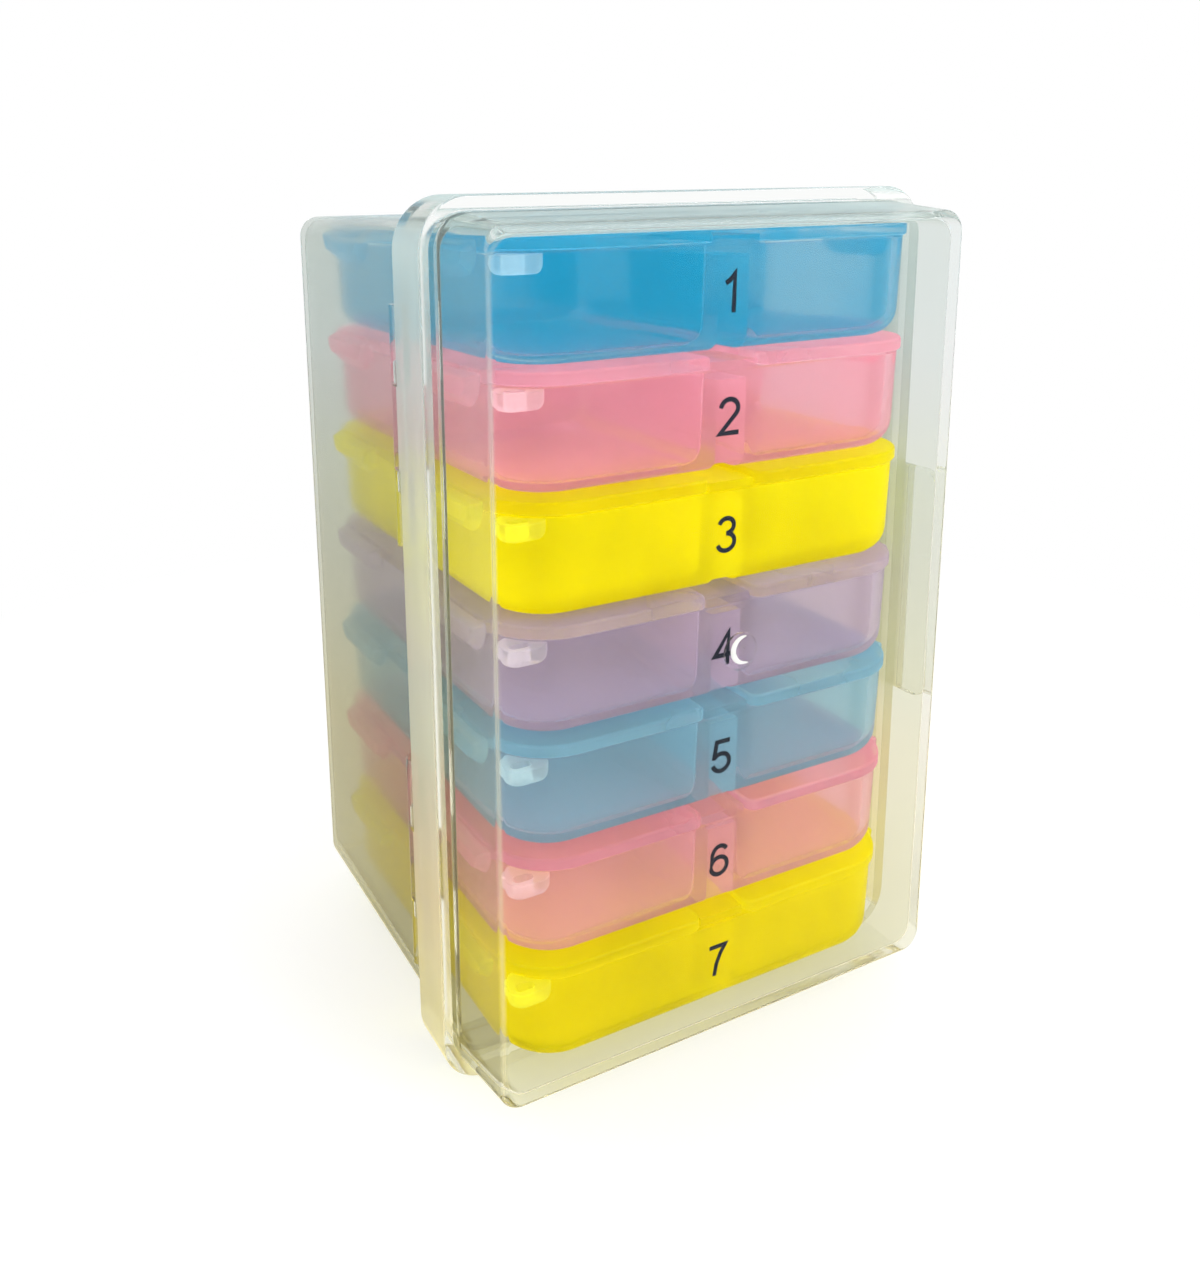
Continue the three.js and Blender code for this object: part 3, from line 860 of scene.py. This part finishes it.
traySize = {
    "frontClearance": 0.8,
    "rearClearance": 0.9,
    "sideClearance": 0.5,
    "wall": 1.2,
    "floor": 1.2,
    "corner": 9,
    "bottomFillet": 3.6,
    "draft": 0.3,
    "cupCorner": 1.6,
    "cupFillet": 2.6,
    "spine": 7,
    "spineWall": 1.2,
    "spineDrop": 0.8,
    "deck": 2.4,
    "edge": 0.14,
    "edgeSegments": 2,
    "edgeAngle": 40,
    "cornerSteps": 14,
    "filletSteps": 6,
    "ringWidth": 6.1,
    "ringDepth": 4.9,
    "ringHeight": 2.3,
    "ringReach": 0.35,
    "ringSideReach": 0.8,
    "ringWall": 0.9,
    "ringCorner": 2,
    "ringTaper": 0.4,
    "ringUnder": (0.8, 1.2),
    "ringUnderSteps": 5,
    "ringSlot": (2.8, 1.4),
    "ringSlotCorner": 0.672,
    "ringSlotSteps": 8,
    "ringTopSteps": 4,
    "ringCornerSteps": 10,
}

lidSize = {
    "plate": 1.7,
    "overhang": 0.5,
    "innerCorner": 1.6,
    "edge": 0.4,
    "edgeSteps": 4,
    "edgeLine": 0.2,
    "barrel": 0.7,
    "barrelLength": 8,
    "barrelInset": 1.1,
    "pinRadius": 0.4,
    "pinLength": 0.9,
    "pinGap": 0.25,
    "barrelSides": 16,
    "thumbWidth": 16,
    "thumbDrop": 5,
    "thumbReach": 2,
    "thumbInset": 14,
    "thumbCorner": 4.1,
    "thumbTaper": 1.5,
    "thumbTop": 0.5,
    "thumbCornerSteps": 8,
    "thumbEdgeSteps": 3,
}

traySpace = caseSize["wall"] + traySize["sideClearance"] + lidSize["thumbReach"]
trayWidth = caseSize["width"] - 2 * traySpace
trayFrontY = frontY + caseSize["wall"] + traySize["frontClearance"] + lidSize["overhang"]
trayRearY = rearHigh.y - caseSize["wall"] - traySize["rearClearance"] - lidSize["overhang"]
trayDepth = trayRearY - trayFrontY
trayMiddleY = (trayFrontY + trayRearY) / 2
trayHeight = pitch - gap
plateBottom = trayHeight - lidSize["plate"]
wallTop = plateBottom - gap
deckTop = trayHeight - traySize["spineDrop"]
quarters = [(-1, -1), (1, -1), (-1, 1), (1, 1)]
lidHinge = (
    traySize["spine"] / 2 - lidSize["barrelInset"],
    (trayDepth / 2 + lidSize["overhang"]) / 2,
    deckTop - gap / 2 - lidSize["barrel"],
)


def plan(u, v, level):
    return (u, v, level)


def basin(rect, bottom, top, fillet):
    # rings of a basin with a rounded bottom edge and drafted walls
    draft = traySize["draft"]
    rings = [
        (inset(rect, draft + fillet * inward), bottom + fillet * along)
        for inward, along in quarter(traySize["filletSteps"])]
    return rings + [(inset(rect, 0), top)]


def cup(sideX, sideY):
    # the hollow of one pill cup; its widest corner follows the tray's
    t = traySize
    small = t["cupCorner"]
    rect = (
        t["spine"] / 2, trayWidth / 2 - t["wall"], t["wall"] / 2, trayDepth / 2 - t["wall"],
        [small, t["corner"] - t["wall"], small, small], t["cornerSteps"])
    rings = basin(rect, t["floor"], trayHeight + overrun, t["cupFillet"])
    return loft(rings, lambda u, v, level: (sideX * u, sideY * v, level))


def hingePocket(sideX, sideY):
    # room in the spine for a lid's barrel
    s = lidSize
    reach = s["barrel"] + gap
    half = s["barrelLength"] / 2 + gap
    x, y, z = sideX * lidHinge[0], sideY * lidHinge[1], lidHinge[2]
    edges = sorted((sideX * (lidHinge[0] - reach), sideX * (traySize["spine"] / 2 + gap)))
    return box((edges[0], y - half, z - reach), (edges[1], y + half, deckTop + overrun))


def hingeSocket(sideX, sideY):
    s = lidSize
    span = s["barrelLength"] + 2 * (s["pinLength"] + gap)
    place = (sideX * lidHinge[0], sideY * lidHinge[1], lidHinge[2])
    return bar(s["pinRadius"] + s["pinGap"], span, s["barrelSides"], "y", place)


ringLeft = -trayWidth / 2 - traySize["ringSideReach"]
ringFront = -trayDepth / 2 - traySize["ringReach"]
ringBottom = wallTop - traySize["ringHeight"]


def ringTab():
    # fills the space in front of the rounded left front corner
    t = traySize
    taper, corner = t["ringTaper"], t["ringCorner"]
    outline = (
        ringLeft, ringLeft + t["ringWidth"], ringFront, ringFront + t["ringDepth"],
        [corner, taper, corner, corner], t["ringCornerSteps"])
    inwards, upwards = t["ringUnder"]
    rings = [
        (inset(outline, inwards * inward), ringBottom + upwards * along)
        for inward, along in quarter(t["ringUnderSteps"])]
    rings += [
        (inset(outline, taper * along / 2), wallTop - taper * inward / 2)
        for inward, along in quarter(t["ringTopSteps"])]
    return loft(rings, plan)


def ringSlot():
    t = traySize
    left, front = ringLeft + t["ringWall"], ringFront + t["ringWall"]
    wide, deep = t["ringSlot"]
    points = roundedRect(
        left, left + wide, front, front + deep, [t["ringSlotCorner"]] * 4, t["ringSlotSteps"])
    return loft([(points, ringBottom - overrun), (points, wallTop + overrun)], plan)


def trayForm():
    t = traySize
    halfSpine, halfDepth = t["spine"] / 2, trayDepth / 2
    outline = (
        -trayWidth / 2, trayWidth / 2, -halfDepth, halfDepth, [t["corner"]] * 4, t["cornerSteps"])
    tray = objectOf("trayForm", loft(basin(outline, 0, wallTop, t["bottomFillet"]), plan))
    combined(tray, "UNION", ringTab())
    combined(tray, "DIFFERENCE", ringSlot())
    deck = box(
        (-halfSpine, t["wall"] / 2 - halfDepth, wallTop - t["wall"]),
        (halfSpine, halfDepth - t["wall"] / 2, deckTop))
    combined(tray, "UNION", deck)
    combined(tray, "DIFFERENCE", gathered([cup(*signs) for signs in quarters]))
    channel = box(
        (t["spineWall"] - halfSpine, t["wall"] - halfDepth, -overrun),
        (halfSpine - t["spineWall"], halfDepth - t["wall"], deckTop - t["deck"]))
    combined(tray, "DIFFERENCE", channel)
    combined(tray, "DIFFERENCE", gathered([hingePocket(*signs) for signs in quarters]))
    combined(tray, "DIFFERENCE", gathered([hingeSocket(*signs) for signs in quarters]))
    softEdges(tray, t["edge"], t["edgeSegments"], t["edgeAngle"])
    shaded(tray)
    markPale(tray.data, inRing)
    return tray


def inRing(x, y, z):
    # outside the tray's rounded corner and within the ring tab
    t = traySize
    edge = t["edge"]
    within = (
        x < ringLeft + t["ringWidth"] + edge and y < ringFront + t["ringDepth"] + edge
        and z > ringBottom - edge)
    corner = Vector((-trayWidth / 2 + t["corner"], -trayDepth / 2 + t["corner"]))
    return within and (Vector((x, y)) - corner).length > t["corner"] - edge / 2


def markPale(mesh, chosen):
    # marked faces get the paler plastic
    marks = mesh.attributes.new("pale", "BOOLEAN", "FACE")
    for face in mesh.polygons:
        marks.data[face.index].value = chosen(*face.center)


def thumbTab():
    # hangs down outside the wall and narrows outwards to its tip
    s = lidSize
    middle = s["thumbInset"] - trayDepth / 2
    small, corner, steps = s["edge"], s["thumbCorner"], s["thumbCornerSteps"]
    half = s["thumbWidth"] / 2
    low, top = trayHeight - s["thumbDrop"], trayHeight - s["edge"]
    root = roundedRect(middle - half, middle + half, low, top, [corner, small, small, corner], steps)
    taper = s["thumbTaper"]
    tipHalf, tipCorner = half - taper / 2, corner - taper - s["thumbTop"]
    tip = (
        middle - tipHalf, middle + tipHalf, low + taper, top - s["thumbTop"],
        [tipCorner, small, small, tipCorner], steps)
    end = -trayWidth / 2 - s["thumbReach"]
    rings = [
        (inset(tip, small * along), end + small * inward)
        for inward, along in quarter(s["thumbEdgeSteps"])][::-1]
    rings += [(root, -trayWidth / 2 - gap)]
    return loft(rings, lambda u, v, level: (level, u, v))


def lidForm():
    # the lid of the left front cup
    s = lidSize
    small = s["innerCorner"]
    right = -traySize["spine"] / 2 - gap
    rect = (
        -trayWidth / 2 - s["overhang"], right, -trayDepth / 2 - s["overhang"], -gap / 2,
        [small, small, small, traySize["corner"] + s["overhang"]], traySize["cornerSteps"])
    line = s["edgeLine"]
    rings = [(inset(rect, line), plateBottom), (inset(rect, 0), plateBottom + line)]
    rings += [
        (inset(rect, s["edge"] * along), trayHeight - s["edge"] * inward)
        for inward, along in quarter(s["edgeSteps"])]
    lid = objectOf("lidForm", loft(rings, plan))
    combined(lid, "UNION", thumbTab())
    place = (-lidHinge[0], -lidHinge[1], lidHinge[2])
    x, y, z = place
    half = s["barrelLength"] / 2
    combined(lid, "UNION", box((right - s["plate"], y - half, z), (x, y + half, z + s["barrel"])))
    combined(lid, "UNION", bar(s["barrel"], s["barrelLength"], s["barrelSides"], "y", place))
    span = s["barrelLength"] + 2 * s["pinLength"]
    combined(lid, "UNION", bar(s["pinRadius"], span, s["barrelSides"], "y", place))
    shaded(lid)
    # the plate's lower edge gets the paler plastic: a painted highlight line
    markPale(lid.data, inEdgeOrThumb)
    return lid


def inEdgeOrThumb(x, y, z):
    # the lower edge of the plate, paler as a painted highlight line, and the thumb tab beside and under
    # it
    line, side = lidSize["edgeLine"], -trayWidth / 2
    lowerEdge = plateBottom + line / 4 < z < plateBottom + 3 * line / 4
    besidePlate = x < side - lidSize["overhang"] - line / 4
    underPlate = z < plateBottom - line and x < side
    return lowerEdge or besidePlate or underPlate


def mirroredForm(name, form):
    shape = bmesh.new()
    shape.from_mesh(form.data)
    shape.transform(Matrix.Scale(-1, 4, (1, 0, 0)))
    bmesh.ops.reverse_faces(shape, faces=shape.faces)
    return shaded(objectOf(name, shape))


def dayStackTree():
    # stands a form on the place of one day in the stack, counted from the top
    tree = bpy.data.node_groups.new("dayStack", "GeometryNodeTree")
    tree.interface.new_socket("Geometry", in_out="OUTPUT", socket_type="NodeSocketGeometry")
    inputs = {
        "Form": "Object", "Plastic": "Material", "Pale Plastic": "Material", "Days": "Int", "Day": "Int",
        "Top Place": "Vector", "Step": "Vector", "Turn": "Vector"}
    sockets = {}
    for name, kind in inputs.items():
        made = tree.interface.new_socket(name, in_out="INPUT", socket_type="NodeSocket" + kind)
        sockets[name] = made.identifier
    nodes = tree.nodes
    given = nodes.new("NodeGroupInput").outputs
    line = nodes.new("GeometryNodeMeshLine")
    line.mode = "OFFSET"
    chosen = nodes.new("FunctionNodeCompare")
    chosen.data_type = "INT"
    chosen.operation = "EQUAL"
    pair = [socket for socket in chosen.inputs if socket.type == "INT"]
    index = nodes.new("GeometryNodeInputIndex")
    before = nodes.new("ShaderNodeMath")
    before.operation = "SUBTRACT"
    before.inputs[1].default_value = 1
    form = nodes.new("GeometryNodeObjectInfo")
    copies = nodes.new("GeometryNodeInstanceOnPoints")
    real = nodes.new("GeometryNodeRealizeInstances")
    paint = nodes.new("GeometryNodeSetMaterial")
    mark = nodes.new("GeometryNodeInputNamedAttribute")
    mark.data_type = "BOOLEAN"
    mark.inputs["Name"].default_value = "pale"
    palePaint = nodes.new("GeometryNodeSetMaterial")
    out = nodes.new("NodeGroupOutput")
    links = (
        (given["Days"], line.inputs["Count"]),
        (given["Top Place"], line.inputs["Start Location"]),
        (given["Step"], line.inputs["Offset"]),
        (given["Day"], before.inputs[0]),
        (index.outputs[0], pair[0]),
        (before.outputs[0], pair[1]),
        (given["Form"], form.inputs["Object"]),
        (line.outputs[0], copies.inputs["Points"]),
        (chosen.outputs[0], copies.inputs["Selection"]),
        (form.outputs["Geometry"], copies.inputs["Instance"]),
        (given["Turn"], copies.inputs["Rotation"]),
        (copies.outputs[0], real.inputs[0]),
        (real.outputs[0], paint.inputs["Geometry"]),
        (given["Plastic"], paint.inputs["Material"]),
        (paint.outputs[0], palePaint.inputs["Geometry"]),
        (mark.outputs["Attribute"], palePaint.inputs["Selection"]),
        (given["Pale Plastic"], palePaint.inputs["Material"]),
        (palePaint.outputs[0], out.inputs[0]))
    for output, target in links:
        tree.links.new(output, target)
    return tree, sockets


stackTree, stackSockets = dayStackTree()


def stacked(name, form, day, turn, plastic, palePlastic):
    made = bpy.data.objects.new(name, bpy.data.meshes.new(name))
    scene.collection.objects.link(made)
    modifier = made.modifiers.new("stack", "NODES")
    modifier.node_group = stackTree
    values = {
        "Form": form, "Plastic": plastic, "Pale Plastic": palePlastic, "Days": dayCount, "Day": day,
        "Top Place": (middleX, trayMiddleY, topTrayLow.z), "Step": (0, 0, -pitch), "Turn": (0, 0, turn)}
    for label, value in values.items():
        modifier[stackSockets[label]] = value
    return applied(made)


tray = trayForm()
lid = lidForm()
sideLid = mirroredForm("sideLidForm", lid)
lidPlaces = {
    "front_left": (lid, 0),
    "rear_right": (lid, math.pi),
    "front_right": (sideLid, 0),
    "rear_left": (sideLid, math.pi),
}
for day, colour in enumerate(dayColours, 1):
    slot = "tray_" + colour
    body = "tray_" + str(day)
    made = stacked("day_tray_" + str(day), tray, day, 0, trayPlastic[slot], ringPlastic[slot])
    finished(made, body, [body])
    for place, (form, turn) in lidPlaces.items():
        name = "day_lid_" + str(day) + "_" + place
        made = stacked(name, form, day, turn, lidPlastic[slot], thumbAndHighlightEdgePlastic[slot])
        finished(made, body, ["lid_" + str(day) + "_" + place])
for form in (tray, lid, sideLid):
    bpy.data.objects.remove(form)
print("trays and lids ready")


# Numerals on the tray fronts: lines and arcs of one stroke width, in shares of the cap height

numeralSize = {
    "capHeight": 5,
    "stroke": 0.64,
    "rightOfMiddle": -0.9,
    "baseline": 5.0,
    "thickness": 0.05,
    "lift": 0.015,
    "arcSteps": 14,
    "leastStep": 0.01,
    "sharpestMitre": 0.45,
}


def arc(x, y, wide, tall, start, end):
    # points of an ellipse between two angles in degrees, counted from the right, anticlockwise
    steps = numeralSize["arcSteps"]
    angles = [math.radians(start + (end - start) * step / steps) for step in range(steps + 1)]
    return [(x + wide * math.cos(angle), y + tall * math.sin(angle)) for angle in angles]


numeralPaths = {
    1: [[(-0.2, 0.74), (-0.06, 0.82), (0.07, 0.97), (0.07, 0)]],
    2: [arc(0, 0.70, 0.27, 0.24, 175, -35) + [(-0.27, 0.062), (0.31, 0.062)]],
    3: [arc(-0.01, 0.735, 0.235, 0.205, 165, -90), arc(-0.01, 0.295, 0.27, 0.235, 90, -165)],
    4: [[(0.14, 0), (0.14, 0.93), (-0.29, 0.29), (0.32, 0.29)]],
    5: [[(0.26, 0.938), (-0.17, 0.938), (-0.24, 0.49)] + arc(-0.01, 0.32, 0.275, 0.26, 140, -165)],
    6: [arc(0.02, 0.63, 0.26, 0.31, 35, 165) + arc(0, 0.33, 0.275, 0.27, 180, -175)],
    7: [[(-0.27, 0.938), (0.27, 0.938), (0.12, 0.70), (-0.01, 0.38), (-0.07, 0)]],
}


def numeralStroke(points):
    # a flat band along the points, mitred where they turn
    n = numeralSize
    path = [Vector(point) * n["capHeight"] for point in points]
    path = [
        point for i, point in enumerate(path)
        if i == 0 or (point - path[i - 1]).length > n["leastStep"]]
    half = n["stroke"] / 2
    left, right = [], []
    for i, point in enumerate(path):
        before = (point - path[max(i - 1, 0)]).normalized()
        after = (path[min(i + 1, len(path) - 1)] - point).normalized()
        before = before if before.length else after
        after = after if after.length else before
        across = Vector((-(before + after).y, (before + after).x)).normalized()
        reach = half / max(across.dot(Vector((-after.y, after.x))), n["sharpestMitre"])
        left.append(point + across * reach)
        right.append(point - across * reach)
    shape = bmesh.new()
    lowLeft, lowRight, topLeft, topRight = [
        [shape.verts.new((v.x, level, v.y)) for v in side]
        for level in (0, n["thickness"]) for side in (left, right)]
    skin(shape, list(zip(lowLeft, lowRight, topRight, topLeft)))
    bmesh.ops.recalc_face_normals(shape, faces=shape.faces)
    return shape


def numeral(day):
    # lies on the leaning front wall of its tray
    n = numeralSize
    made = objectOf("day_numeral_" + str(day), numeralStroke(numeralPaths[day][0]))
    for points in numeralPaths[day][1:]:
        combined(made, "UNION", numeralStroke(points))
    frontWall = -trayDepth / 2 - n["lift"] - n["thickness"]
    slope = traySize["draft"] / (wallTop - traySize["bottomFillet"])
    for vertex in made.data.vertices:
        height = vertex.co.z + n["baseline"]
        lean = slope * (wallTop - height)
        vertex.co += Vector((n["rightOfMiddle"], frontWall + lean, n["baseline"]))
    made.data.transform(Matrix.Translation((middleX, trayMiddleY, topTrayLow.z - (day - 1) * pitch)))
    return made


for day, colour in enumerate(dayColours, 1):
    finished(numeral(day), "tray_" + str(day), [], ink)
print("numerals ready")


# Floor, backdrop and lamps

studio = {
    "floorSize": 6,
    "floorColour": (0.82, 0.82, 0.81, 1),
    "shadowReach": (0.06, 0.22),
    "shadowFade": 0.5,
    "worldLevel": 0.75,
    "lamps": {  # place, size, watts
        "keyLamp": ((0.45, -0.55, 0.55), (0.5, 0.5), 5),
        "fillLamp": ((-0.6, -0.3, 0.35), (0.4, 0.6), 2.5),
        "topLamp": ((0.0, 0.15, 0.7), (0.5, 0.4), 2.4),
    },
}


def seenDirectly(nodes):
    # one for the camera and for what gloss and clear plastic show
    path = nodes.add("ShaderNodeLightPath")
    mirrored = nodes.maths("MAXIMUM", path.outputs["Is Glossy Ray"], path.outputs["Is Transmission Ray"])
    return nodes.maths("MAXIMUM", path.outputs["Is Camera Ray"], mirrored)


def makeFloor():
    # pale paper that fades to white away from the shadow
    shape = bmesh.new()
    bmesh.ops.create_grid(shape, x_segments=1, y_segments=1, size=studio["floorSize"] / 2)
    floor = objectOf("floor", shape)
    nodes = Nodes("floorPaper")
    paper = nodes.add("ShaderNodeBsdfDiffuse", Color=studio["floorColour"]).outputs[0]
    white = nodes.add("ShaderNodeEmission", Color=(1, 1, 1, 1), Strength=1.0).outputs[0]
    away = nodes.add("ShaderNodeVectorMath", {"operation": "LENGTH"}, i0=nodes.place())
    fade = nodes.spread(away.outputs["Value"], studio["shadowFade"], 1, *studio["shadowReach"])
    seen = nodes.blended(fade, paper, white)
    floor.data.materials.append(nodes.finish(nodes.blended(seenDirectly(nodes), paper, seen)))


def makeWorld():
    world = bpy.data.worlds.new("studio")
    scene.world = world
    nodes = Nodes("studio", world)
    plain, white = [
        nodes.add("ShaderNodeBackground", Color=(1, 1, 1, 1), Strength=level).outputs[0]
        for level in (studio["worldLevel"], 1.0)]
    nodes.finish(nodes.blended(seenDirectly(nodes), plain, white))


def makeLamp(name, place, size, watts):
    # turned to the middle of the object
    data = bpy.data.lights.new(name, "AREA")
    data.shape = "RECTANGLE"
    data.size, data.size_y = size
    data.energy = watts
    made = bpy.data.objects.new(name, data)
    scene.collection.objects.link(made)
    made.location = place
    made.rotation_mode = "QUATERNION"
    towards = Vector((0, 0, middleZ * mm)) - Vector(place)
    made.rotation_quaternion = towards.to_track_quat("-Z", "Y")


makeFloor()
makeWorld()
for name, lamp in studio["lamps"].items():
    makeLamp(name, *lamp)
print("studio ready")
